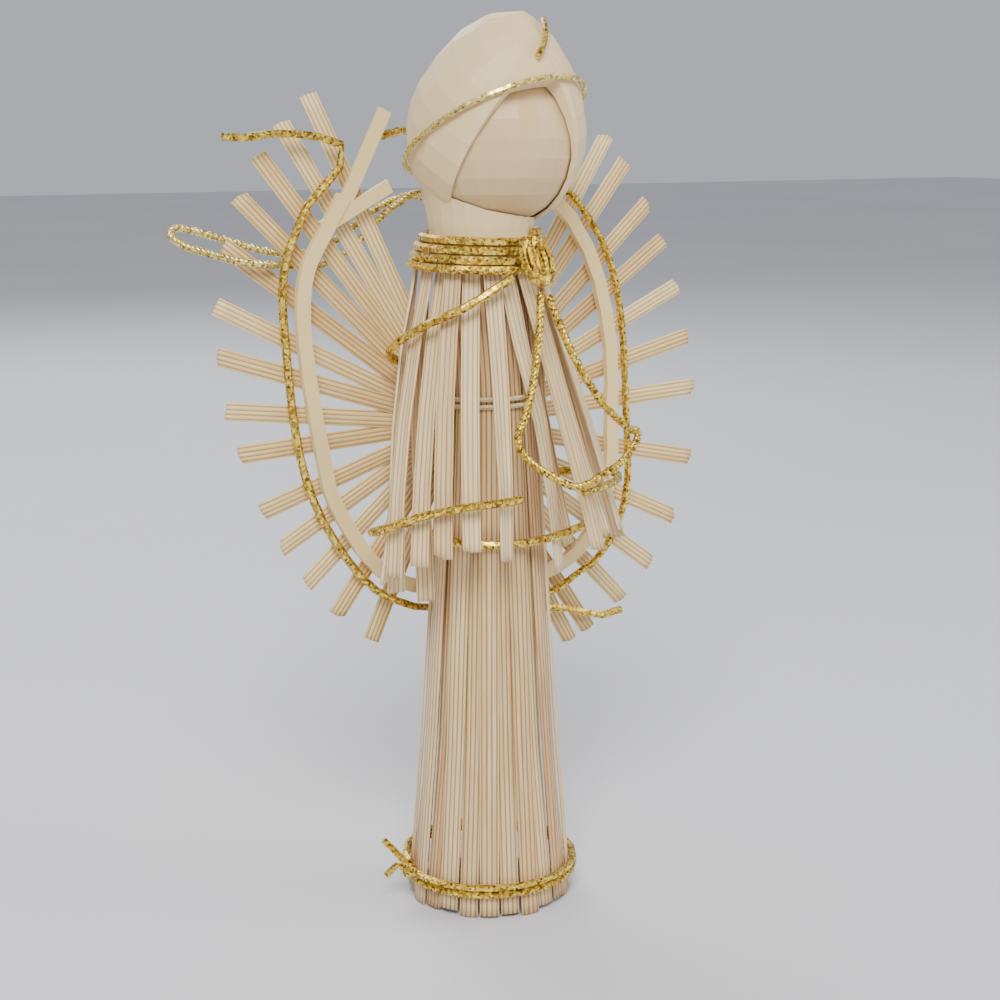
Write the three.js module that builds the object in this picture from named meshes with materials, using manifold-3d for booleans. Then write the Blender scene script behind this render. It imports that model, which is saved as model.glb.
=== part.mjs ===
// A straw angel ornament: split straw strips, a wooden ball head and gold cord.
// Millimetres, +Z up, the figure faces -Y. Left and right are as seen from the front.

import * as THREE from 'three';
import { mergeVertices } from 'three/addons/utils/BufferGeometryUtils.js';
import Module from 'manifold-3d';

const wasm = await Module();
wasm.setup();

// ---------------------------------------------------------------- driving dimensions

const GAP = 0.3;                                    // between pieces that rest on each other
const CENTRING = new THREE.Vector3(-2.6, 0.7, 0);   // brings the outline's middle over the origin

const STRAW = { width: 2.9, thickness: 0.8 };
const GOLD = 0.68;                                  // radius of the gold cord
const BAND = 0.45;                                  // radius of the thin headband cord
const LOOP = 0.65;                                  // radius of the hanging loop
const THREAD = 0.35;                                // radius of the waist thread

const BALL = { centre: new THREE.Vector3(0.95, -0.55, 125.2), radius: 13.4 };
const FACE = new THREE.Vector3(-0.105, -0.995, 0);  // the way the face looks
const HAIR = {
  angles: [0, 14, 24, 35, 50, 70, 90, 180],         // away from the tuft, degrees
  radii: [20.9, 18.9, 17.8, 16.5, 15.3, 14.45, 14.15, 14.15],
  tuftAxis: new THREE.Vector3(0, -0.29, 0.96).normalize(),
  parting: new THREE.Vector3(0.105, -0.56, 0.822).normalize(),
  locks: 16,
  ridge: 0.12,
  opening: [-45, 47],                               // edges of the face, degrees round the parting
  collar: [[6, 107.2], [8.35, 107.2], [8.35, 111], [8.7, 113.5], [9.2, 115.6], [9.6, 117.2], [6, 117.2]],
  neckHole: 8.0,
};
const HEADBAND = { normal: new THREE.Vector3(-0.153, 0.458, 0.876).normalize(), offset: 1.5 };

const NECK = { centre: new THREE.Vector3(-0.8, 1.0, 0), top: 110.8, bottom: 105.2, turns: 4 };
NECK.topRadius = 9.2;
NECK.bottomRadius = 11.7;
NECK.cord = 0.7;

const SKIRT = {
  strips: 24,
  widths: [3.3, 3.1],                               // outer strips, then the ones behind them
  ragged: 0.9,                                      // the hem ends differ by up to this much
  lean: 84,                                         // above this height the bundle leans to the neck
  heights: [0, 28, 84, 104, 117],
  tuck: [0.2, 0.95, 0.95, 0.95, 0.3],               // every second strip lies this much deeper
  radii: [13.8, 11.4, 7.7, 7.3, 7.4],               // outer radius at each height
};

const HEM = {
  cord: 0.6,
  knot: [-14.9, 0.6, 5.4],
  tails: [[[-16.4, 1.4, 8.0], [-18.8, 2.6, 10.9]], [[-16.8, 1.8, 6.4], [-18.4, 2.6, 4.6]]],
};

const SLEEVE = {
  top: 106.3,
  topRadius: 9.2,
  cuff: 60,
  centre: new THREE.Vector3(13.0, -9.5, 60),        // middle of the cuff on the right side
  half: 10.3,                                       // half length of the oval cuff
  outerDepth: 5.5,
  innerDepth: 4.5,
  clearance: 2.4,                                   // from the bundle to the middle of a sleeve strip
  shingle: 0.56,                                    // strips lie this far in or out at the neck
};
// Each strip: its place round the cuff, then round the neck, in degrees from the front, and the
// height of its lower end.
const LEFT_STRIPS = [
  [20, 20, 60.6], [67, 40, 62.8], [93, 57, 61.8], [115, 74, 60.6], [143, 90, 58.6],
  [178, 106, 56.8], [222, 121, 54.8], [250, 134, 53.2],
];
const RIGHT_STRIPS = [
  [-58, -7, 56.2], [59, 9, 60.8], [82, 27, 62.6], [120, 43, 62.0],
  [150, 61, 60.3], [186, 79, 59.4], [219, 95, 60.2], [257, 119, 59.0],
];
// Heights of the gold cords on the left sleeve, against the place round the cuff.
const CUFF_CORD = {
  turns: [8, 67, 93, 115, 143, 178, 222, 252],
  heights: [70.5, 70.3, 69.3, 68.4, 66.2, 64.6, 64.5, 65.5],
};
const SHOULDER_CORD = {
  turns: [-10, 8, 60, 100, 140, 180, 233],
  heights: [104.2, 103.6, 100.6, 98, 95, 92.3, 90],
};
const LEFT = { side: -1, strips: LEFT_STRIPS, bow: 1.2 };
const RIGHT = { side: 1, strips: RIGHT_STRIPS, bow: 0 };

const HUB = new THREE.Vector3(-0.6, 9.4, 78.7);     // where the wing strips cross
const WING = {
  thickness: 1.0,
  slit: 0.15,                                       // half the slit between the wings at the hub
  reach: 48.0,                                      // mean radius of the egg outline
  cosine: [8.3, 3.8, 1.2],                          // taller than wide
  sine: [4.0, -3.2, -0.5],                          // a little fuller on one side
};
const LEFT_FAN = [26, 32, 38, 45, 53, 63, 72, 83, 93, 108, 119, 131, 143, 155];
const RIGHT_FAN = [32, 38, 47, 55, 65, 76, 87, 102, 115, 126, 136, 146, 151];

const BRAID = { width: 2.3, thickness: 1.2, pitch: 6, scallop: 0.2 };

// Routes of the loose cords and of the braid, points in order along each.
const BRAID_ROUTE = [
  [-21.8, 7.5, 116.4], [-25.1, 7.5, 111.0], [-28.4, 7.5, 105.0], [-29.2, 7.5, 98.0],
  [-28.6, 7.5, 90.0], [-27.4, 7.5, 82.0], [-26.2, 7.5, 75.5], [-25.0, 7.5, 69.5], [-22.3, 7.5, 64.0],
  [-18.8, 7.5, 58.6], [-14.6, 7.5, 54.4], [-10.6, 7.6, 52.6], [-7.0, 8.8, 51.5], [-3.6, 10.5, 50.9],
  [0, 11.2, 50.6], [3.6, 10.5, 50.5], [7.0, 8.8, 50.6], [10.6, 7.6, 50.8], [15, 7.5, 51.4],
  [20.7, 7.5, 53.6], [24.4, 7.5, 57.0], [27.4, 7.5, 62.5], [28.8, 7.5, 70.0], [28.8, 7.5, 78.0],
  [28.7, 7.5, 85.9], [28.0, 7.5, 92.4], [26.6, 7.5, 98.8], [24.6, 7.5, 104.6], [21.8, 7.5, 109.6],
  [18.6, 7.5, 113.6], [15.6, 8.0, 116.0],
];
const WING_CORD_LEFT = [
  [-42.0, 6.7, 125.6], [-37.7, 6.6, 125.5], [-32.8, 6.6, 126.1], [-26.2, 6.6, 125.5],
  [-21.6, 6.8, 123.6], [-23.4, 7.3, 119.6], [-27.2, 7.6, 116.2], [-29.4, 7.6, 112.2],
  [-31.4, 7.6, 108.0], [-32.5, 7.6, 102.0], [-32.2, 7.6, 95.0], [-31.6, 7.6, 87.0],
  [-30.7, 7.6, 79.2], [-29.4, 7.6, 72.9], [-27.1, 7.6, 66.5], [-24.0, 7.6, 61.0], [-21.0, 7.6, 56.6],
  [-17.4, 7.6, 52.6], [-13.4, 7.6, 50.2], [-10.6, 7.7, 48.9], [-7.4, 9.0, 47.9], [-3.8, 10.9, 47.2],
  [0, 11.6, 46.8], [4.0, 10.9, 46.3], [7.6, 9.2, 45.8], [11.0, 7.8, 45.3], [17.9, 7.6, 44.9],
  [23.0, 7.6, 43.3], [28.3, 7.6, 42.0], [31.5, 7.6, 42.6],
];
const WING_CORD_RIGHT = [
  [7.4, 9.4, 47.9], [10.8, 7.8, 47.4], [14.0, 7.6, 47.2], [17.3, 7.6, 47.7], [21.0, 7.6, 49.8],
  [26.0, 7.6, 52.2], [29.8, 7.6, 57.0], [32.2, 7.6, 63.0], [32.6, 7.6, 70.0], [32.1, 7.6, 77.0],
  [31.7, 7.6, 84.0], [31.2, 7.6, 91.0], [30.3, 7.6, 97.0], [28.9, 7.6, 102.8], [26.4, 7.6, 108.4],
  [23.0, 7.6, 113.0], [20.0, 7.8, 116.4], [16.8, 9.6, 118.5], [12.6, 12.0, 120.5],
  [8.0, 14.0, 122.4], [1.0, 15.6, 125.0], [-5.0, 14.7, 126.2], [-10.2, 11.4, 126.4],
  [-13.8, 9.8, 125.6], [-16.8, 9.4, 124.9],
];
const LOOP_ROUTE = [
  [-3.0, 11.3, 113.6], [-6.4, 11.4, 116.4], [-10.4, 11.0, 115.0], [-14.9, 10.7, 111.9],
  [-19.6, 10.6, 107.6], [-25.4, 10.8, 105.4], [-29.3, 10.9, 105.6], [-32.3, 9.35, 106.0],
  [-34.9, 7.75, 106.3], [-37.4, 7.7, 106.5], [-40.6, 7.7, 107.2], [-44.0, 7.7, 108.2],
  [-47.6, 8.2, 109.4], [-49.6, 9.2, 110.9], [-48.6, 10.3, 112.0], [-45.6, 10.7, 111.6],
  [-40.6, 10.8, 110.1], [-34.0, 10.8, 108.2], [-28.0, 10.8, 107.5], [-21.5, 11.2, 109.4],
  [-16.0, 12.2, 112.8], [-11.0, 12.9, 115.2], [-6.0, 13.3, 116.0], [-1.4, 12.6, 113.8],
];
const HIP_ROUTE = [
  [14.6, -11.2, 64.6], [10.9, -11.4, 63.8], [6.8, -11.6, 62.8], [1.6, -11.2, 62.2],
  [-3.4, -10.2, 62.0], [-7.6, -7.6, 62.1], [-10.2, -3.4, 62.3], [-10.6, 1.4, 62.6],
  [-9.4, 5.2, 63.0],
];
const DRAPE_ROUTE = [
  [1.4, -13.6, 102.0], [0.3, -15.2, 98.0], [-0.6, -15.9, 93.0], [-1.6, -16.0, 87.4],
  [-2.9, -16.0, 83.0], [-3.9, -15.9, 80.9], [-3.9, -16.2, 78.6], [-2.3, -17.4, 76.2],
  [0.4, -18.8, 74.2], [3.4, -20.0, 72.5], [6.0, -20.4, 72.6], [8.6, -19.8, 73.4],
  [14.0, -17.8, 75.0], [18.2, -15.4, 77.2], [19.6, -14.0, 78.8], [16.6, -15.5, 80.0],
  [11.0, -16.6, 84.6], [6.0, -16.8, 91.4], [3.2, -15.6, 98.0], [2.6, -14.0, 101.4],
];

// ---------------------------------------------------------------- shaping tools

const UP = new THREE.Vector3(0, 0, 1);
const { degToRad, radToDeg, lerp } = THREE.MathUtils;

// Keeps only the corners and joins those that coincide.
function bare(geometry) {
  geometry.deleteAttribute('normal');
  geometry.deleteAttribute('uv');
  return mergeVertices(geometry, 1e-4);
}

function solid(geometry) {
  const shell = bare(geometry);
  const vertProperties = new Float32Array(shell.getAttribute('position').array);
  const triVerts = new Uint32Array(shell.index.array);
  return new wasm.Manifold(new wasm.Mesh({ numProp: 3, vertProperties, triVerts }));
}

function surface(body) {
  const { vertProperties, triVerts } = body.getMesh();
  const geometry = new THREE.BufferGeometry();
  geometry.setAttribute('position', new THREE.BufferAttribute(vertProperties, 3));
  geometry.setIndex(new THREE.BufferAttribute(triVerts, 1));
  return geometry;
}

function joined(solids) {
  return solids.reduce((all, next) => all.add(next));
}

// The main body of a cut solid, without the crumbs.
function largest(body) {
  return body.decompose().reduce((best, next) => (next.volume() > best.volume() ? next : best));
}

// A radius that follows straight lines between the given heights.
function profileAt(heights, radii, z) {
  const k = Math.max(1, heights.findIndex((height) => height >= z));
  const share = (z - heights[k - 1]) / (heights[k] - heights[k - 1]);
  return lerp(radii[k - 1], radii[k], share);
}

// A straw strip: a flat bar whose length runs from 0 to 1; place() moves each corner.
function strip(width, thickness, steps, place) {
  const bar = new THREE.BoxGeometry(width, thickness, 1, 1, 1, steps);
  const corners = bar.getAttribute('position');
  const corner = new THREE.Vector3();
  for (let i = 0; i < corners.count; i++) {
    corner.fromBufferAttribute(corners, i);
    const moved = place(corner.x, corner.y, corner.z + 0.5);
    corners.setXYZ(i, moved.x, moved.y, moved.z);
  }
  return bare(bar);
}

// A round cord along a curve, as a prism with a few sides.
function cord(path, radius, { sides = 6, step = 3.2 } = {}) {
  const section = new THREE.Shape();
  for (let k = 0; k < sides; k++) {
    const angle = 2 * Math.PI * k / sides;
    section[k ? 'lineTo' : 'moveTo'](radius * Math.cos(angle), radius * Math.sin(angle));
  }
  const steps = Math.max(2, Math.round(path.getLength() / step));
  return new THREE.ExtrudeGeometry(section, { steps, bevelEnabled: false, extrudePath: path });
}

function through(points) {
  return new THREE.CatmullRomCurve3(points.map((p) => (p.isVector3 ? p : new THREE.Vector3(...p))));
}

// A curve given by a function of 0 to 1.
class Course extends THREE.Curve {
  constructor(place) {
    super();
    this.place = place;
  }

  getPoint(t, target = new THREE.Vector3()) {
    return target.copy(this.place(t));
  }
}

// ---------------------------------------------------------------- body and skirt

// The bundle's middle leans from the axis to the neck.
function bundleMiddle(z) {
  const share = THREE.MathUtils.smoothstep(z, SKIRT.lean, NECK.bottom);
  return NECK.centre.clone().multiplyScalar(share);
}

function skirtStrip(index) {
  const angle = 2 * Math.PI * index / SKIRT.strips;
  const outward = new THREE.Vector3(Math.sin(angle), -Math.cos(angle), 0);
  const along = new THREE.Vector3().crossVectors(outward, UP);
  const steps = SKIRT.heights.length - 1;
  const lift = index % 3 ? SKIRT.ragged * Math.abs(Math.sin(index * 2.3)) : 0;
  return strip(SKIRT.widths[index % 2], STRAW.thickness, steps, (x, y, s) => {
    const k = Math.round(s * steps);
    const z = k ? SKIRT.heights[k] : lift;
    const depth = (index % 2) * SKIRT.tuck[k];
    const radius = profileAt(SKIRT.heights, SKIRT.radii, z) - STRAW.thickness / 2 - depth;
    return bundleMiddle(z).addScaledVector(outward, radius + y).addScaledVector(along, x).setZ(z);
  });
}

function skirt() {
  const strips = [];
  for (let index = 0; index < SKIRT.strips; index++) {
    strips.push(solid(skirtStrip(index)));
  }
  const seat = new THREE.SphereGeometry(BALL.radius + 2 * GAP, 24, 16);
  seat.rotateX(Math.PI / 2).translate(...BALL.centre);
  return surface(joined(strips).subtract(solid(seat)));
}

// A cord wound round the bundle at one height.
function windingAt(z, turns, radius, rise, from) {
  return new Course((t) => {
    const angle = degToRad(from) + 2 * Math.PI * turns * t;
    const height = z + rise * (t - 0.5);
    const reach = profileAt(SKIRT.heights, SKIRT.radii, z) + GAP + radius + 0.07;
    return bundleMiddle(z).add(new THREE.Vector3(reach * Math.sin(angle), -reach * Math.cos(angle), height));
  });
}

// Two turns round the hem, tied at the side with two short tails.
function hemCord() {
  const turns = solid(cord(windingAt(5.2, 1.97, HEM.cord, 2.4, -86), HEM.cord, { step: 4 }));
  const tails = HEM.tails.map((points) => {
    const route = through([HEM.knot, ...points]);
    return solid(cord(route, HEM.cord, { step: 2.6 }));
  });
  const knot = new THREE.IcosahedronGeometry(1.35, 1).scale(1, 1.2, 1).translate(...HEM.knot);
  return surface(joined([turns, solid(knot), ...tails]));
}

// ---------------------------------------------------------------- sleeves

function cuffPoint(side, turn) {
  const angle = degToRad(turn);
  const depth = Math.sin(angle) > 0 ? SLEEVE.outerDepth : SLEEVE.innerDepth;
  const inward = SLEEVE.half * Math.cos(angle);
  const outward = depth * Math.sin(angle);
  return new THREE.Vector3(
    side * (SLEEVE.centre.x - 0.866 * inward + 0.5 * outward),
    SLEEVE.centre.y - 0.5 * inward - 0.866 * outward,
    SLEEVE.cuff,
  );
}

function collarPoint(side, neckAngle) {
  const angle = degToRad(neckAngle);
  const x = NECK.centre.x + side * SLEEVE.topRadius * Math.sin(angle);
  const y = NECK.centre.y - SLEEVE.topRadius * Math.cos(angle);
  return new THREE.Vector3(x, y, SLEEVE.top);
}

// The neck angle that belongs to a place round the cuff, between the sleeve's own strips.
function neckAngleAt(strips, turn) {
  const next = strips.findIndex(([place]) => place >= turn);
  const k = next < 0 ? strips.length - 1 : Math.max(1, next);
  const [fromTurn, fromNeck] = strips[k - 1];
  const [toTurn, toNeck] = strips[k];
  return lerp(fromNeck, toNeck, (turn - fromTurn) / (toTurn - fromTurn));
}

// A point on the middle of the sleeve wall, and the way out of the sleeve there.
function sleeveWall(sleeve, turn, neckAngle, z) {
  const middle = (place, neck) => {
    const share = (SLEEVE.top - z) / (SLEEVE.top - SLEEVE.cuff);
    const top = collarPoint(sleeve.side, neck);
    const point = top.clone().lerp(cuffPoint(sleeve.side, place), share).setZ(z);
    const swell = sleeve.bow * Math.max(0, 4 * share * (1 - share));
    const away = top.sub(NECK.centre).setZ(0).normalize();
    point.addScaledVector(away, swell);
    const fromBody = point.clone().sub(bundleMiddle(z)).setZ(0);
    const clear = profileAt(SKIRT.heights, SKIRT.radii, z) + SLEEVE.clearance;
    const push = Math.max(0, clear - fromBody.length()) * Math.min(1, 8 * share);
    return point.addScaledVector(fromBody.normalize(), push);
  };
  const point = middle(turn, neckAngle);
  const along = middle(turn + 2, neckAngle + 1).sub(middle(turn - 2, neckAngle - 1)).normalize();
  const out = new THREE.Vector3().crossVectors(along, UP).multiplyScalar(sleeve.side);
  return { point, out };
}

function sleeveStrip(sleeve, index) {
  const [turn, neckAngle, bottom] = sleeve.strips[index];
  const layer = (index % 2 ? 1 : -1) * sleeve.side;
  const steps = 4;
  return strip(STRAW.width, STRAW.thickness, steps, (x, y, s) => {
    const z = lerp(SLEEVE.top, bottom, s);
    const { point, out } = sleeveWall(sleeve, turn, neckAngle, z);
    const shift = layer * SLEEVE.shingle * (1 - s ** 4);
    const along = new THREE.Vector3().crossVectors(UP, out);
    return point.addScaledVector(out, shift + y).addScaledVector(along, x);
  });
}

// A cord laid on the sleeve: place round the cuff and height, both functions of 0 to 1.
function cordOnSleeve(sleeve, turnAt, heightAt, clearance) {
  return new Course((t) => {
    const turn = turnAt(t);
    const ends = Math.cos(degToRad(turn)) ** 2;
    const { point, out } = sleeveWall(sleeve, turn, neckAngleAt(sleeve.strips, turn), heightAt(t, turn));
    return point.addScaledVector(out, STRAW.thickness / 2 + GAP + GOLD + clearance + 0.4 * ends);
  });
}

// ---------------------------------------------------------------- head

// Directions on the head: round the parting, with zero at the face.
const headFrame = (() => {
  const parting = HAIR.parting;
  const front = FACE.clone().addScaledVector(parting, -FACE.dot(parting)).normalize();
  const side = new THREE.Vector3().crossVectors(parting, front);
  return { parting, front, side };
})();

function hairRadius(direction) {
  return profileAt(HAIR.angles, HAIR.radii, radToDeg(direction.angleTo(HAIR.tuftAxis)));
}

function onHair(direction, height) {
  const unit = direction.clone().normalize();
  return unit.multiplyScalar(hairRadius(unit) + HAIR.ridge + height).add(BALL.centre);
}

function hair() {
  const { parting, front, side } = headFrame;
  const cap = new THREE.SphereGeometry(1, 2 * HAIR.locks, 12);
  const corners = cap.getAttribute('position');
  for (let i = 0; i < corners.count; i++) {
    const local = new THREE.Vector3().fromBufferAttribute(corners, i);
    const direction = new THREE.Vector3()
      .addScaledVector(side, local.x)
      .addScaledVector(parting, local.y)
      .addScaledVector(front, local.z)
      .normalize();
    const round = Math.atan2(local.x, local.z);
    const lock = HAIR.ridge * Math.cos(HAIR.locks * round) * Math.sqrt(Math.max(0, 1 - local.y ** 2));
    direction.multiplyScalar(hairRadius(direction) + lock).add(BALL.centre);
    corners.setXYZ(i, ...direction);
  }
  const ball = new THREE.SphereGeometry(BALL.radius + GAP, 24, 14);
  ball.rotateX(Math.PI / 2).translate(...BALL.centre);
  const neckHole = new THREE.CylinderGeometry(HAIR.neckHole, HAIR.neckHole, 16, 24);
  neckHole.rotateX(Math.PI / 2).translate(NECK.centre.x, NECK.centre.y, 110);
  const outline = [...HAIR.collar, HAIR.collar[0]].map(([x, y]) => new THREE.Vector2(x, y));
  const collar = new THREE.LatheGeometry(outline, 24);
  collar.rotateX(Math.PI / 2).translate(NECK.centre.x, NECK.centre.y, 0);
  const locks = solid(cap).subtract(faceOpening()).add(solid(collar));
  return surface(largest(locks.subtract(solid(ball)).subtract(solid(neckHole))).simplify(0.03));
}

// What is left bare: a wedge between the locks that frame the face, below the headband.
function faceOpening() {
  const [from, to] = HAIR.opening.map(degToRad);
  const middle = (from + to) / 2;
  const reach = 40;
  const start = 2.5;
  const outline = new THREE.Shape();
  outline.moveTo(start * Math.cos(middle), start * Math.sin(middle));
  outline.lineTo(reach * Math.cos(from), reach * Math.sin(from));
  outline.lineTo(reach * Math.cos(to), reach * Math.sin(to));
  const wedge = new THREE.ExtrudeGeometry(outline, { depth: 2 * reach, bevelEnabled: false });
  const { parting, front, side } = headFrame;
  wedge.translate(0, 0, -reach);
  wedge.applyMatrix4(new THREE.Matrix4().makeBasis(front, side, parting));
  wedge.translate(...BALL.centre);
  const { normal, offset } = HEADBAND;
  return solid(wedge).trimByPlane(normal.clone().negate().toArray(), -normal.dot(BALL.centre) - offset);
}

function headband() {
  const { normal, offset } = HEADBAND;
  const back = new THREE.Vector3(0, 1, 0).addScaledVector(normal, -normal.y).normalize();
  const side = new THREE.Vector3().crossVectors(normal, back);
  const nearlyClosed = 0.985;
  return new Course((t) => {
    const angle = 2 * Math.PI * nearlyClosed * t;
    const away = back.clone().multiplyScalar(Math.cos(angle)).addScaledVector(side, Math.sin(angle));
    let reach = HAIR.radii.at(-1);
    for (let pass = 0; pass < 4; pass++) {
      const direction = normal.clone().multiplyScalar(offset).addScaledVector(away, reach).normalize();
      const full = hairRadius(direction) + HAIR.ridge + 0.2 + BAND;
      reach = Math.sqrt(full ** 2 - offset ** 2);
    }
    return BALL.centre.clone().addScaledVector(normal, offset).addScaledVector(away, reach);
  });
}

function crownTie() {
  const directions = [[0.211, -0.367, 0.904], [0.15, -0.52, 0.84], [0.07, -0.65, 0.75], [-0.02, -0.73, 0.68]];
  return through(directions.map((d) => onHair(new THREE.Vector3(...d), GAP + BAND)));
}

// ---------------------------------------------------------------- neck

function neckBinding() {
  return new Course((t) => {
    const angle = 2 * Math.PI * NECK.turns * t + 0.6;
    const radius = lerp(NECK.topRadius, NECK.bottomRadius, t);
    const z = lerp(NECK.top, NECK.bottom, t);
    return new THREE.Vector3(radius * Math.sin(angle), -radius * Math.cos(angle), z).add(NECK.centre);
  });
}

function neckBow() {
  const turn = degToRad(11);
  const loops = [-1.5, 0, 1.5].map((shift, index) => {
    const loop = new THREE.TorusGeometry(2.0, 0.72, 5, 9);
    loop.scale(0.62, 1.5 + 0.15 * (index % 2), 1).translate(shift, 0, 0.3 * (index % 2));
    return solid(loop);
  });
  const knot = new THREE.IcosahedronGeometry(1.5, 1).scale(1.5, 0.8, 0.8).translate(0, -3.2, 0);
  const bow = surface(joined([...loops, solid(knot)]));
  bow.rotateX(Math.PI / 2).rotateX(degToRad(-24)).rotateZ(turn);
  const reach = 13.1;
  return bow.translate(NECK.centre.x + reach * Math.sin(turn), NECK.centre.y - reach * Math.cos(turn), 106.9);
}

// ---------------------------------------------------------------- wings

function eggRadius(angle) {
  return [1, 2, 3].reduce((radius, k) => (
    radius + WING.cosine[k - 1] * Math.cos(k * angle) + WING.sine[k - 1] * Math.sin(k * angle)
  ), WING.reach);
}

// Half of the egg outline as a slab; side is -1 for left, 1 for right.
function halfEgg(side) {
  const outline = new THREE.Shape();
  const steps = 28;
  for (let k = 0; k <= steps; k++) {
    const angle = side * Math.PI * k / steps;
    const x = side * Math.max(WING.slit, side * eggRadius(angle) * Math.sin(angle));
    outline[k ? 'lineTo' : 'moveTo'](x, eggRadius(angle) * Math.cos(angle));
  }
  const depth = 4 * WING.thickness;
  const slab = new THREE.ExtrudeGeometry(outline, { depth, bevelEnabled: false });
  return slab.translate(0, 0, -depth / 2).rotateX(Math.PI / 2).translate(...HUB);
}

function wing(side, fan) {
  const length = 70;
  const strips = fan.map((angle) => {
    const bar = new THREE.BoxGeometry(STRAW.width, WING.thickness, length);
    bar.translate(0, 0, length / 2).rotateY(side * degToRad(angle)).translate(...HUB);
    return solid(bar);
  });
  return surface(joined(strips).intersect(solid(halfEgg(side))));
}

function braid() {
  const path = through(BRAID_ROUTE);
  const length = path.getLength();
  const steps = Math.round(length / 3);
  const band = strip(BRAID.width, BRAID.thickness, steps, (x, y, s) => {
    const point = path.getPointAt(s);
    const tangent = path.getTangentAt(s);
    const across = new THREE.Vector3().crossVectors(tangent, new THREE.Vector3(0, 1, 0)).normalize();
    const out = new THREE.Vector3().crossVectors(across, tangent);
    const wave = Math.sin(2 * Math.PI * s * length / BRAID.pitch) * Math.sign(x);
    return point.addScaledVector(across, -x * (1 + BRAID.scallop * wave)).addScaledVector(out, y);
  });
  const ends = [
    [[-21.6, 7.5, 115.4], [-14.4, 7.2, 129.6]],
    [[-25.6, 7.5, 111.6], [-13.8, 7.2, 117.9]],
  ].map(([from, to]) => {
    const start = new THREE.Vector3(...from);
    const course = new THREE.Vector3(...to).sub(start);
    const bar = new THREE.BoxGeometry(2.2, 0.7, course.length());
    bar.translate(0, 0, course.length() / 2);
    bar.rotateY(Math.atan2(course.x, course.z));
    return solid(bar.translate(...start));
  });
  return surface(joined([solid(band), ...ends]));
}

// ---------------------------------------------------------------- the ornament

function finish(color, roughness, metalness = 0) {
  return () => new THREE.MeshStandardMaterial({ color, roughness, metalness });
}

const straw = finish('#e0c184', 0.55);
const wood = finish('#d6ae79', 0.45);
const gold = finish('#c79a1e', 0.32, 0.9);
const paleGold = finish('#d9c56a', 0.4, 0.7);
const thread = finish('#e8dcbc', 0.8);

const ornament = new THREE.Group();
ornament.position.copy(CENTRING);

function add(name, geometry, material) {
  const mesh = new THREE.Mesh(geometry, material());
  mesh.name = name;
  ornament.add(mesh);
}

add('skirt', skirt(), straw);
add('hip_cord', cord(through(HIP_ROUTE), GOLD, { step: 3.6 }), gold);
add('waist_thread', cord(windingAt(84.4, 1.95, THREAD, 2.4, 180), THREAD, { sides: 4, step: 2.6 }), thread);
add('hem_cord', hemCord(), gold);

for (const [name, sleeve] of [['left', LEFT], ['right', RIGHT]]) {
  sleeve.strips.forEach((_, index) => {
    add(`sleeve_${name}_${index + 1}`, sleeveStrip(sleeve, index), straw);
  });
}
const cuffHeight = (t, turn) => profileAt(CUFF_CORD.turns, CUFF_CORD.heights, turn);
const shoulderHeight = (t, turn) => profileAt(SHOULDER_CORD.turns, SHOULDER_CORD.heights, turn);
add('cuff_cord_left', cord(cordOnSleeve(LEFT, (t) => 10 + 240 * t, cuffHeight, 0.25), GOLD), gold);
add('cuff_cord_right', cord(cordOnSleeve(RIGHT, (t) => 52 + 190 * t, () => 70.6, 0.25), GOLD), gold);
add('shoulder_cord', cord(cordOnSleeve(LEFT, (t) => 242 * t - 10, shoulderHeight, 0.9), GOLD), gold);

const head = new THREE.SphereGeometry(BALL.radius, 24, 14);
head.rotateX(Math.PI / 2).translate(...BALL.centre);
add('head', bare(head), wood);
add('hair', hair(), straw);
add('headband', cord(headband(), BAND, { step: 3.6 }), paleGold);
add('crown_tie', cord(crownTie(), BAND, { step: 2 }), gold);
add('neck_binding', cord(neckBinding(), NECK.cord, { step: 4.4 }), gold);
add('neck_bow', neckBow(), gold);

add('wing_left', wing(-1, LEFT_FAN), straw);
add('wing_right', wing(1, RIGHT_FAN), straw);
add('wing_braid', braid(), straw);
add('wing_cord_left', cord(through(WING_CORD_LEFT), GOLD, { step: 4 }), gold);
add('wing_cord_right', cord(through(WING_CORD_RIGHT), GOLD, { step: 4 }), gold);
add('draped_cord', cord(through(DRAPE_ROUTE), GOLD, { sides: 8, step: 3.2 }), gold);
add('hanging_loop', cord(through(LOOP_ROUTE), LOOP, { sides: 8, step: 3.4 }), paleGold);

export default ornament;
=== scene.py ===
# %% [markdown]
# This file dresses a straw angel ornament. The straws of the skirt, sleeves and wings and the two
# free cords are new pieces, made in metres where the solids they stand for already are. The head,
# the hair, the braid and the bound cords are the solids themselves, with a finish and nothing more.

# %% Load the frame
import math
import random
import bmesh
import bpy
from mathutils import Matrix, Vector, noise


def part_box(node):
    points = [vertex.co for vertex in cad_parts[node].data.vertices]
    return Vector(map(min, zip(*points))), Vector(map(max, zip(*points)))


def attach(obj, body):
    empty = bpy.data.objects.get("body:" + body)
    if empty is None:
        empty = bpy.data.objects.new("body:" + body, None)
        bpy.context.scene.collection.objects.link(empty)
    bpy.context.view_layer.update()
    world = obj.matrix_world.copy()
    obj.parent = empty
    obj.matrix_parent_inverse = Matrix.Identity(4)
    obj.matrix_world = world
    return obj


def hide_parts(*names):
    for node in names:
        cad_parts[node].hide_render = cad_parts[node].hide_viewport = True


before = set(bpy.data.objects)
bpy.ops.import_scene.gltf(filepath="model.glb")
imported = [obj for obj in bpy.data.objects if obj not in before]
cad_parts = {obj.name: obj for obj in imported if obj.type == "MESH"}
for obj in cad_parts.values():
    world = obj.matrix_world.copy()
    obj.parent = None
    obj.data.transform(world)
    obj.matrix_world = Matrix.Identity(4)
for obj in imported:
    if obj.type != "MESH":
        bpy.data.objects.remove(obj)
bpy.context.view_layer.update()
MM = 0.001
STRAW_THICKNESS = 0.4 * MM
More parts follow.
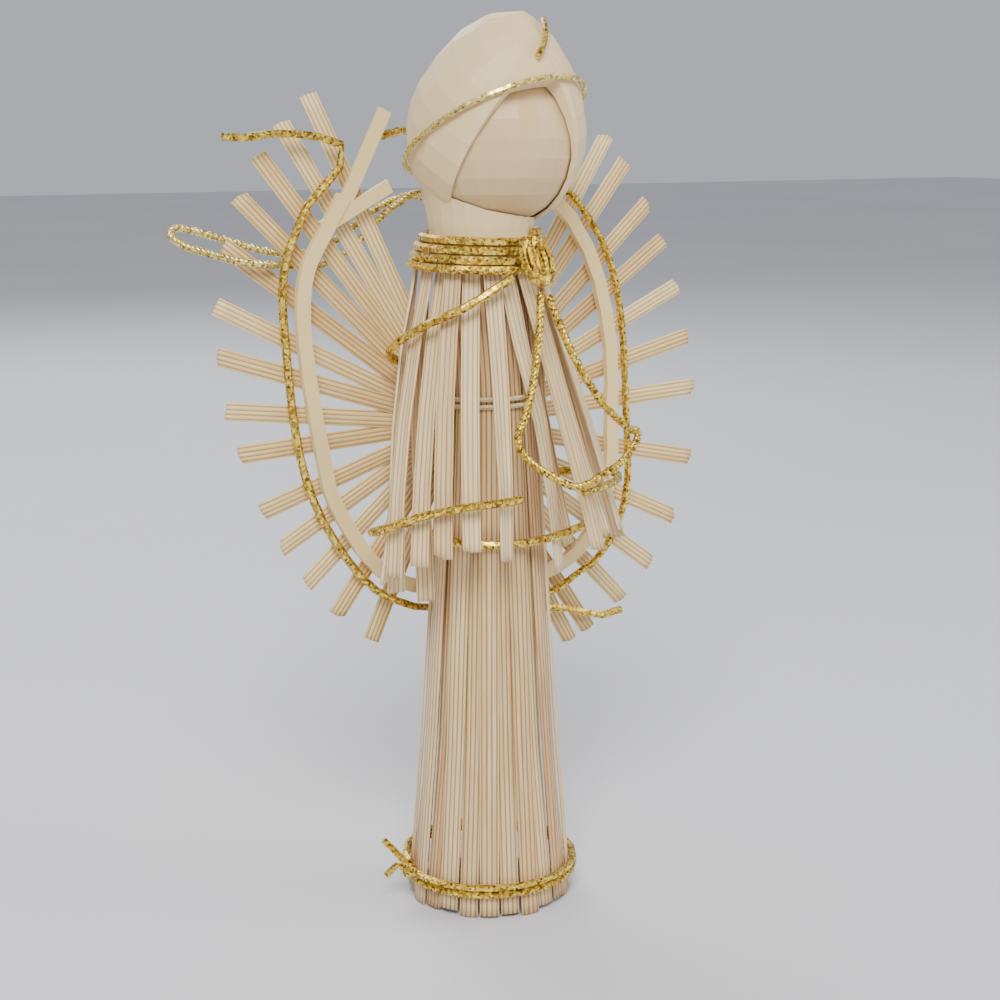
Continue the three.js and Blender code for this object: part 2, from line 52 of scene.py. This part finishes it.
HUB = (-0.6, 9.4, 78.7)      # where the wing straws meet
head_low, head_high = (Vector(corner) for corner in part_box("head"))
BALL = (head_low + head_high) / 2
BALL_RADIUS = 13.4 * MM
AXIS = BALL - Vector((0.95, -0.55, 125.2)) * MM      # foot of the skirt's own axis
print("ball centre", tuple(BALL), "axis", tuple(AXIS))


def at(x, y, z):
    """A point given in millimetres from the foot of the skirt's axis."""
    return AXIS + Vector((x, y, z)) * MM


# %% [markdown]
# The camera comes first. The figure is seen from its left front and from a little above, from about
# 0.3 m away, with a lens long enough that it fills the picture.

# %% Camera
camera_data = bpy.data.cameras.new("camera")
camera_data.sensor_width = 36
camera_data.lens = 36 * 1.8314
camera = bpy.data.objects.new("camera", camera_data)
bpy.context.scene.collection.objects.link(camera)
camera.location = at(-146.9, -254.4, 127.8)
camera_aim = at(1.56, -0.9, 67.13)
camera.rotation_euler = (camera_aim - camera.location).to_track_quat("-Z", "Y").to_euler()
bpy.context.scene.camera = camera
print("camera", tuple(camera.location))


# %% [markdown]
# Materials are node trees. One helper adds a node, sets its sockets and links its inputs, so each
# finish below reads as a short list of steps. Colours are written as sRGB hex and turned to linear.

# %% Material helpers
def linear(hex_colour):
    channels = [int(hex_colour[i:i + 2], 16) / 255 for i in (1, 3, 5)]
    return [c / 12.92 if c <= 0.04045 else ((c + 0.055) / 1.055) ** 2.4 for c in channels] + [1]


def node(tree, kind, inputs=None, **settings):
    """Adds a node; an input may be a value or another node's output."""
    made = tree.nodes.new(kind)
    for name, value in settings.items():
        setattr(made, name, value)
    for name, value in (inputs or {}).items():
        socket = made.inputs[name]
        if isinstance(value, bpy.types.NodeSocket):
            tree.links.new(value, socket)
        else:
            socket.default_value = value
    return made


def ramp(tree, fac, *stops):
    """A colour ramp with (position, hex) stops."""
    made = node(tree, "ShaderNodeValToRGB", {"Fac": fac})
    for k, (place, colour) in enumerate(stops):
        stop = made.color_ramp.elements[k] if k < 2 else made.color_ramp.elements.new(place)
        stop.position = place
        stop.color = linear(colour)
    return made.outputs["Color"]


def new_material(name):
    made = bpy.data.materials.new(name)
    made.use_nodes = True
    made.node_tree.nodes.clear()
    return made, made.node_tree


def finish_material(tree, inputs):
    shader = node(tree, "ShaderNodeBsdfPrincipled", inputs)
    node(tree, "ShaderNodeOutputMaterial", {"Surface": shader.outputs["BSDF"]})
    return shader


# %% [markdown]
# Split straw is a flattened wheat stem: pale, silky along its length, with three or four fine ribs
# and long fibre streaks. The UV map carries the strip's number in whole steps of u, the place across
# it in the fraction of u, and its length in v at 10 mm to the unit.

# %% Straw material
def straw_material(name, light, middle, dark, shade):
    made, tree = new_material(name)
    uv = node(tree, "ShaderNodeUVMap", uv_map="strip").outputs["UV"]
    parts = node(tree, "ShaderNodeSeparateXYZ", {"Vector": uv})
    number = node(tree, "ShaderNodeMath", {0: parts.outputs["X"]}, operation="FLOOR").outputs[0]
    across = node(tree, "ShaderNodeMath", {0: parts.outputs["X"]}, operation="FRACT").outputs[0]
    pick = node(tree, "ShaderNodeTexWhiteNoise", {"W": number}, noise_dimensions="1D").outputs["Value"]
    stretch = node(tree, "ShaderNodeMapping", {"Vector": uv, "Scale": (26, 1.2, 1)}).outputs[0]
    fibre = node(tree, "ShaderNodeTexNoise", {"Vector": stretch, "Scale": 1.0, "Detail": 3.0}).outputs[0]
    coarse = node(tree, "ShaderNodeMapping", {"Vector": uv, "Scale": (5, 0.5, 1)}).outputs[0]
    stain = node(tree, "ShaderNodeTexNoise", {"Vector": coarse, "Scale": 1.0, "Detail": 2.0}).outputs[0]
    waves = node(tree, "ShaderNodeMath", {0: across, 1: 4 * 2 * math.pi}, operation="MULTIPLY").outputs[0]
    rib = node(tree, "ShaderNodeMath", {0: waves}, operation="COSINE").outputs[0]
    rib01 = node(tree, "ShaderNodeMapRange", {"Value": rib, "From Min": -1.0, "From Max": 1.0}).outputs[0]
    mix = node(tree, "ShaderNodeMath", {0: fibre, 1: stain}, operation="ADD").outputs[0]
    mix = node(tree, "ShaderNodeMath", {0: pick, 1: 0.55, 2: mix}, operation="MULTIPLY_ADD").outputs[0]
    tone = node(tree, "ShaderNodeMapRange", {"Value": mix, "From Min": 0.75, "From Max": 1.75}).outputs[0]
    colour = ramp(tree, tone, (0.0, light), (0.5, middle), (1.0, dark))
    groove = ramp(tree, rib01, (0.0, shade), (0.45, "#FFFFFF"))
    colour = node(tree, "ShaderNodeMix", {0: 0.8, 6: colour, 7: groove}, data_type="RGBA",
                  blend_type="MULTIPLY").outputs[2]
    height = node(tree, "ShaderNodeMath", {0: rib01, 1: 0.7, 2: fibre}, operation="MULTIPLY_ADD").outputs[0]
    bump = node(tree, "ShaderNodeBump", {"Height": height, "Strength": 0.7, "Distance": 0.00012}).outputs[0]
    finish_material(tree, {"Base Color": colour, "Roughness": 0.48, "Normal": bump,
                           "Specular IOR Level": 0.4, "Sheen Weight": 0.1})
    return made


# %% [markdown]
# The gold cord is a lurex yarn: narrow metal foil wound round a thread, so it glitters in small
# facets between near white and dark brown. That glitter is painted into the metal colour: a fine
# cell pattern gives bright flakes painted glint and dark flakes painted shade.

# %% Gold, thread, wood and floor materials
def gold_material(name, bright, middle, dark):
    made, tree = new_material(name)
    place = node(tree, "ShaderNodeTexCoord").outputs["Object"]
    cells = node(tree, "ShaderNodeTexVoronoi", {"Vector": place, "Scale": 2600.0})      # 0.4 mm flakes
    painted_glint = node(tree, "ShaderNodeSeparateColor", {"Color": cells.outputs["Color"]}).outputs["Red"]
    # painted glint and shade: each flake's colour stands for the light it catches
    colour = ramp(tree, painted_glint, (0.0, dark), (0.45, middle), (1.0, bright))
    bump = node(tree, "ShaderNodeBump", {"Height": painted_glint, "Strength": 0.5, "Distance": 0.00008})
    finish_material(tree, {"Base Color": colour, "Metallic": 0.85, "Roughness": 0.34,
                           "Normal": bump.outputs[0]})
    return made


def plain_material(name, light, dark, scale, roughness):
    made, tree = new_material(name)
    place = node(tree, "ShaderNodeTexCoord").outputs["Object"]
    cloud = node(tree, "ShaderNodeTexNoise", {"Vector": place, "Scale": scale, "Detail": 4.0})
    colour = ramp(tree, cloud.outputs[0], (0.3, light), (0.7, dark))
    bump = node(tree, "ShaderNodeBump", {"Height": cloud.outputs[0], "Strength": 0.15,
                                         "Distance": 0.0001})
    finish_material(tree, {"Base Color": colour, "Roughness": roughness, "Normal": bump.outputs[0]})
    return made


SLEEVE_STRAW = straw_material("sleeve_straw", "#F4E0B4", "#E6CB99", "#CFAE7B", "#C39A66")
# The skirt straw is the sleeve straw made darker: painted shade for the skirt in shadow between the
# sleeves.
SHADED_SKIRT_STRAW = straw_material("skirt_straw_painted_shade", "#EED5A2", "#DCBB86", "#B98D5C", "#A97C4E")
WING_STRAW = straw_material("wing_straw", "#F4E2AE", "#E9CD90", "#D2AD70", "#BD935A")
HAIR_STRAW = straw_material("hair_straw", "#FBE6B8", "#E6CB98", "#B99A68", "#B08C58")
GOLD = gold_material("gold_cord", "#FFE873", "#C9A23C", "#6B4A0E")
PALE_GOLD = gold_material("pale_gold_cord", "#FFF7B4", "#DCC46A", "#8D7438")
THREAD = plain_material("thread", "#E9D9AE", "#C9B487", 900.0, 0.7)
WOOD = plain_material("wooden_ball", "#D8BB8C", "#C9A575", 60.0, 0.42)
FLOOR = plain_material("floor", "#D9D9DC", "#D2D2D6", 3.0, 0.6)


# %% [markdown]
# Straw strips are bent grids: ten cells across with four ribs, a slight arch, and ends cut a little
# askew. A solidify modifier gives them the 0.4 mm of a flattened stem.

# %% Strip and cord helpers
def finished(name, bm, material, nodes, solid=0.0):
    mesh = bpy.data.meshes.new(name)
    bm.to_mesh(mesh)
    bm.free()
    mesh.materials.append(material)
    made = bpy.data.objects.new(name, mesh)
    bpy.context.scene.collection.objects.link(made)
    for polygon in mesh.polygons:
        polygon.use_smooth = True
    if solid:
        modifier = made.modifiers.new("thickness", "SOLIDIFY")
        modifier.thickness = solid
        modifier.offset = -1
    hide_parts(*nodes)
    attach(made, "root")
    print(name, len(mesh.polygons), "faces")
    return made


def add_strip(bm, number, width, place, length, rng, rows):
    """place(s) gives (centre, across, out) at the share s of the strip's length."""
    layer = bm.loops.layers.uv.get("strip") or bm.loops.layers.uv.new("strip")
    grid = bmesh.ops.create_grid(bm, x_segments=12, y_segments=rows, size=1.0)["verts"]
    slant = rng.uniform(-0.9, 0.9) * MM
    shares = {}
    for vert in grid:
        side, share = vert.co.x, (vert.co.y + 1) / 2
        shares[vert] = (side, share)
        centre, across, out = place(min(1.0, max(0.0, share + slant * side * share / length)))
        arch = 0.22 * (1 - side * side) + 0.05 * math.cos(4 * math.pi * side)      # mm
        wander = 0.10 * noise.noise(Vector((number * 3.1, share * 4, 0)))           # mm
        vert.co = centre + across * (side * width / 2) + out * ((arch + wander - 0.2) * MM)
    for face in {face for vert in grid for face in vert.link_faces}:
        for loop in face.loops:
            side, share = shares[loop.vert]
            loop[layer].uv = (number + 0.5 + 0.48 * side, share * length / (10 * MM))


def smooth_route(points):
    """A Catmull-Rom line through the points, sampled about every 0.3 mm."""
    points = [Vector(p) for p in points]
    line = []
    for k in range(len(points) - 1):
        a, b, c = points[max(0, k - 1)], points[k], points[k + 1]
        d = points[min(len(points) - 1, k + 2)]
        steps = max(2, round((c - b).length / (0.3 * MM)))
        for j in range(steps):
            t = j / steps
            line.append(0.5 * (2 * b + (c - a) * t + (2 * a - 5 * b + 4 * c - d) * t ** 2
                               + (3 * b - a - 3 * c + d) * t ** 3))
    return line + [points[-1]]


def sweep(bm, line, radius, sides=8):
    """A round tube along a line: circles joined face by face, with a face at each end."""
    rings = []
    normal = (line[1] - line[0]).orthogonal().normalized()
    for k, point in enumerate(line):
        tangent = (line[min(k + 1, len(line) - 1)] - line[max(k - 1, 0)]).normalized()
        normal = (normal - tangent * normal.dot(tangent)).normalized()
        side = tangent.cross(normal)
        ring = bmesh.ops.create_circle(bm, segments=sides, radius=radius)["verts"]
        for j, vert in enumerate(ring):
            turn = 2 * math.pi * j / sides
            vert.co = point + (normal * math.cos(turn) + side * math.sin(turn)) * radius
        rings.append(ring)
    for ring, after in zip(rings, rings[1:]):
        for j in range(sides):
            bm.faces.new((ring[j], ring[(j + 1) % sides], after[(j + 1) % sides], after[j]))
    bm.faces.new(list(reversed(rings[0])))
    bm.faces.new(rings[-1])


def add_cord(bm, route, radius, pitch=2.4, strands=3):
    """Twisted strands round a route; the bundle's outer radius is the cord's own."""
    line = smooth_route(route)
    normal = (line[1] - line[0]).orthogonal().normalized()
    strand = radius * 0.54
    paths = [[] for _ in range(strands)]
    run = 0.0
    for k, point in enumerate(line):
        if k:
            run += (point - line[k - 1]).length
        tangent = (line[min(k + 1, len(line) - 1)] - line[max(k - 1, 0)]).normalized()
        normal = (normal - tangent * normal.dot(tangent)).normalized()
        side = tangent.cross(normal)
        for j in range(strands):
            turn = 2 * math.pi * (run / (pitch * MM) + j / strands)
            paths[j].append(point + (normal * math.cos(turn) + side * math.sin(turn)) * (radius - strand))
    for path in paths:
        sweep(bm, path, strand, 6)
    return line


# %% [markdown]
# The skirt is a bundle of 24 flattened straws tied at the waist and spread at the hem, with every
# other straw tucked behind its neighbours and the ends cut unevenly.

# %% Skirt
rng = random.Random(11)
HEIGHTS = [0, 28, 84, 104, 117]
RADII = [13.8, 11.4, 7.7, 7.3, 7.4]


def profile(z):
    for k in range(4):
        if z <= HEIGHTS[k + 1] or k == 3:
            t = (z - HEIGHTS[k]) / (HEIGHTS[k + 1] - HEIGHTS[k])
            return RADII[k] + (RADII[k + 1] - RADII[k]) * t


def bundle_middle(z):
    t = min(1, max(0, (z - 84) / 21.2))
    t = t * t * (3 - 2 * t)
    return Vector((-0.8 * t, 1.0 * t, 0))


skirt_bm = bmesh.new()
for index in range(24):
    angle = 2 * math.pi * index / 24
    out = Vector((math.sin(angle), -math.cos(angle), 0))
    across = Vector((math.cos(angle), math.sin(angle), 0))
    lift = abs(math.sin(2.3 * index)) * 0.9 if index % 3 else 0.0

    def skirt_place(s, out=out, across=across, lift=lift, odd=index % 2):
        z = lift + (116 - lift) * s
        tuck = odd * (0.25 + 0.7 * min(1, z / 28))
        middle = bundle_middle(z)
        reach = profile(z) - tuck
        return at(middle.x + out.x * reach, middle.y + out.y * reach, z), across, out

    add_strip(skirt_bm, index, (3.15 if index % 2 == 0 else 3.0) * MM, skirt_place, 116 * MM, rng, 60)
finished("skirt_straws", skirt_bm, SHADED_SKIRT_STRAW, ["skirt"], STRAW_THICKNESS)


# %% [markdown]
# Each sleeve is a fan of eight straws hanging from the collar. The straws stay in the places of the
# solids: each solid strip is read back as rings of four corners.

# %% Sleeves
def strip_rings(name):
    rings = {}
    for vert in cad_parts[name].data.vertices:
        rings.setdefault(round(vert.co.z * 1e4), set()).add(tuple(round(c, 6) for c in vert.co))
    heights = sorted(rings, reverse=True)
    return [[Vector(c) for c in rings[key]] for key in heights if len(rings[key]) >= 4]


for side_name, lean in (("left", -1), ("right", 1)):
    sleeve_bm = bmesh.new()
    names = [f"sleeve_{side_name}_{k}" for k in range(1, 9)]
    for number, name in enumerate(names):
        stations = []
        for ring in strip_rings(name):
            centre = sum(ring, Vector()) / len(ring)
            edges = sorted(((c - ring[0]).length, c) for c in ring[1:])
            across = (edges[1][1] - ring[0]).normalized()
            out = Vector((across.y, -across.x, 0))
            away = centre - at(13 * lean, -6, 0)
            if out.dot(Vector((away.x, away.y, 0))) < 0:
                out = -out
            stations.append([centre, out])
        for before, after in zip(stations, stations[1:]):
            if before[1].dot(after[1]) < 0:
                after[1] = -after[1]

        def sleeve_place(s, stations=stations):
            spot = s * (len(stations) - 1)
            k = min(int(spot), len(stations) - 2)
            t = spot - k
            centre = stations[k][0].lerp(stations[k + 1][0], t)
            out = stations[k][1].lerp(stations[k + 1][1], t).normalized()
            return centre + out * (0.35 * MM), Vector((-out.y, out.x, 0)), out

        add_strip(sleeve_bm, 40 + number * 2 + lean, 2.85 * MM, sleeve_place, 48 * MM, rng, 30)
    finished(f"sleeve_{side_name}_straws", sleeve_bm, SLEEVE_STRAW, names, STRAW_THICKNESS)


# %% [markdown]
# The wings are flat straws fanned from one point behind the waist and trimmed to an egg outline.

# %% Wings
def wing_length(degrees):
    p = math.radians(degrees)
    return (48 + 8.3 * math.cos(p) + 4 * math.sin(p) + 3.8 * math.cos(2 * p) - 3.2 * math.sin(2 * p)
            + 1.2 * math.cos(3 * p) - 0.5 * math.sin(3 * p))


LEFT_FAN = [26, 32, 38, 45, 53, 63, 72, 83, 93, 108, 119, 131, 143, 155]
RIGHT_FAN = [32, 38, 47, 55, 65, 76, 87, 102, 115, 126, 136, 146, 151]
for side_name, lean, fan in (("left", -1, LEFT_FAN), ("right", 1, RIGHT_FAN)):
    wing_bm = bmesh.new()
    for number, degrees in enumerate(fan):
        turn = math.radians(lean * degrees)
        course = Vector((math.sin(turn), 0, math.cos(turn)))
        across = Vector((math.cos(turn), 0, -math.sin(turn)))
        length = wing_length(lean * degrees)

        layer = (number % 3 - 1) * 0.25      # mm in front of or behind its neighbours

        def wing_place(s, course=course, across=across, length=length, layer=layer):
            reach = 3 + (length - 3) * s
            root = at(HUB[0], HUB[1] + layer * (1 - s), HUB[2])
            return root + course * reach * MM, across, Vector((0, -1, 0))

        add_strip(wing_bm, 70 + number * 2 + lean, 2.8 * MM, wing_place, length * MM, rng, 24)
    finished(f"wing_{side_name}_straws", wing_bm, WING_STRAW, [f"wing_{side_name}"], STRAW_THICKNESS)


# %% [markdown]
# The hanging loop and the cord that hangs across the front are built along their centrelines.
# These two are modelled as three twisted strands each.

# %% Free cords
LOOP = [(-3, 11.3, 113.6), (-6.4, 11.4, 116.4), (-10.4, 11, 115), (-14.9, 10.7, 111.9),
        (-19.6, 10.6, 107.6), (-25.4, 10.8, 105.4), (-29.3, 10.9, 105.6), (-32.3, 9.35, 106),
        (-34.9, 7.75, 106.3), (-37.4, 7.7, 106.5), (-40.6, 7.7, 107.2), (-44, 7.7, 108.2),
        (-47.6, 8.2, 109.4), (-49.6, 9.2, 110.9), (-48.6, 10.3, 112), (-45.6, 10.7, 111.6),
        (-40.6, 10.8, 110.1), (-34, 10.8, 108.2), (-28, 10.8, 107.5), (-21.5, 11.2, 109.4),
        (-16, 12.2, 112.8), (-11, 12.9, 115.2), (-6, 13.3, 116), (-1.4, 12.6, 113.8)]
DRAPE = [(1.4, -13.6, 102), (0.3, -15.2, 98), (-0.6, -15.9, 93), (-1.6, -16, 87.4), (-2.9, -16, 83),
         (-3.9, -15.9, 80.9), (-3.9, -16.2, 78.6), (-2.3, -17.4, 76.2), (0.4, -18.8, 74.2),
         (3.4, -20, 72.5), (6, -20.4, 72.6), (8.6, -19.8, 73.4), (14, -17.8, 75), (18.2, -15.4, 77.2),
         (19.6, -14, 78.8), (16.6, -15.5, 80), (11, -16.6, 84.6), (6, -16.8, 91.4), (3.2, -15.6, 98),
         (2.6, -14, 101.4)]
for name, route, radius, material, slot in (("hanging_loop", LOOP, 0.65, PALE_GOLD, "pale_cord"),
                                            ("draped_cord", DRAPE, 0.68, GOLD, "gold_cord")):
    cord_bm = bmesh.new()
    line = add_cord(cord_bm, [at(*p) for p in route], radius * MM)
    piece = finished(f"{name}_yarn", cord_bm, material, [name])
    length = sum((b - a).length for a, b in zip(line, line[1:]))
    print(name, "length", round(length * 1000, 1), "mm")


# %% [markdown]
# The bound cords and ties, the head, the hair and the braid stay as their solids. They have a
# procedural finish, but no twist, no painted face and no separate strands.

# %% Solids that keep their own shape
GOLD_SOLIDS = ["neck_binding", "neck_bow", "hem_cord", "hip_cord", "cuff_cord_left", "cuff_cord_right",
               "shoulder_cord", "wing_cord_left", "wing_cord_right", "crown_tie"]
FINISHES = [(name, GOLD) for name in GOLD_SOLIDS] + [
    ("headband", PALE_GOLD), ("waist_thread", THREAD), ("head", WOOD), ("hair", HAIR_STRAW),
    ("wing_braid", WING_STRAW)]
for name, material in FINISHES:
    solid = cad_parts[name]
    solid.data.materials.clear()
    solid.data.materials.append(material)
print(len(FINISHES), "solids finished")


# %% [markdown]
# A large pale floor and three soft lights stand in for a product table.

# %% Floor, lights and world
floor_bm = bmesh.new()
bmesh.ops.create_grid(floor_bm, x_segments=1, y_segments=1, size=3.0)
floor_mesh = bpy.data.meshes.new("floor")
floor_bm.to_mesh(floor_mesh)
floor_bm.free()
floor_mesh.materials.append(FLOOR)
floor = bpy.data.objects.new("floor", floor_mesh)
bpy.context.scene.collection.objects.link(floor)
floor.location.z = -0.0002
LIGHTS = [("key", (-0.35, -0.55, 0.65), 0.35, 9.0), ("fill", (0.7, -0.4, 0.4), 0.6, 3.5),
          ("back", (0.1, 0.7, 0.6), 0.5, 4.0)]
for label, spot, size, power in LIGHTS:
    lamp = bpy.data.lights.new(label, "AREA")
    lamp.size = size
    lamp.energy = power
    light = bpy.data.objects.new(label, lamp)
    bpy.context.scene.collection.objects.link(light)
    light.location = spot
    light.rotation_euler = (Vector((0, 0, 0.07)) - light.location).to_track_quat("-Z", "Y").to_euler()
world = bpy.data.worlds.new("studio")
world.use_nodes = True
world.node_tree.nodes["Background"].inputs[0].default_value = (0.9, 0.93, 1.0, 1)
world.node_tree.nodes["Background"].inputs[1].default_value = 0.55
bpy.context.scene.world = world
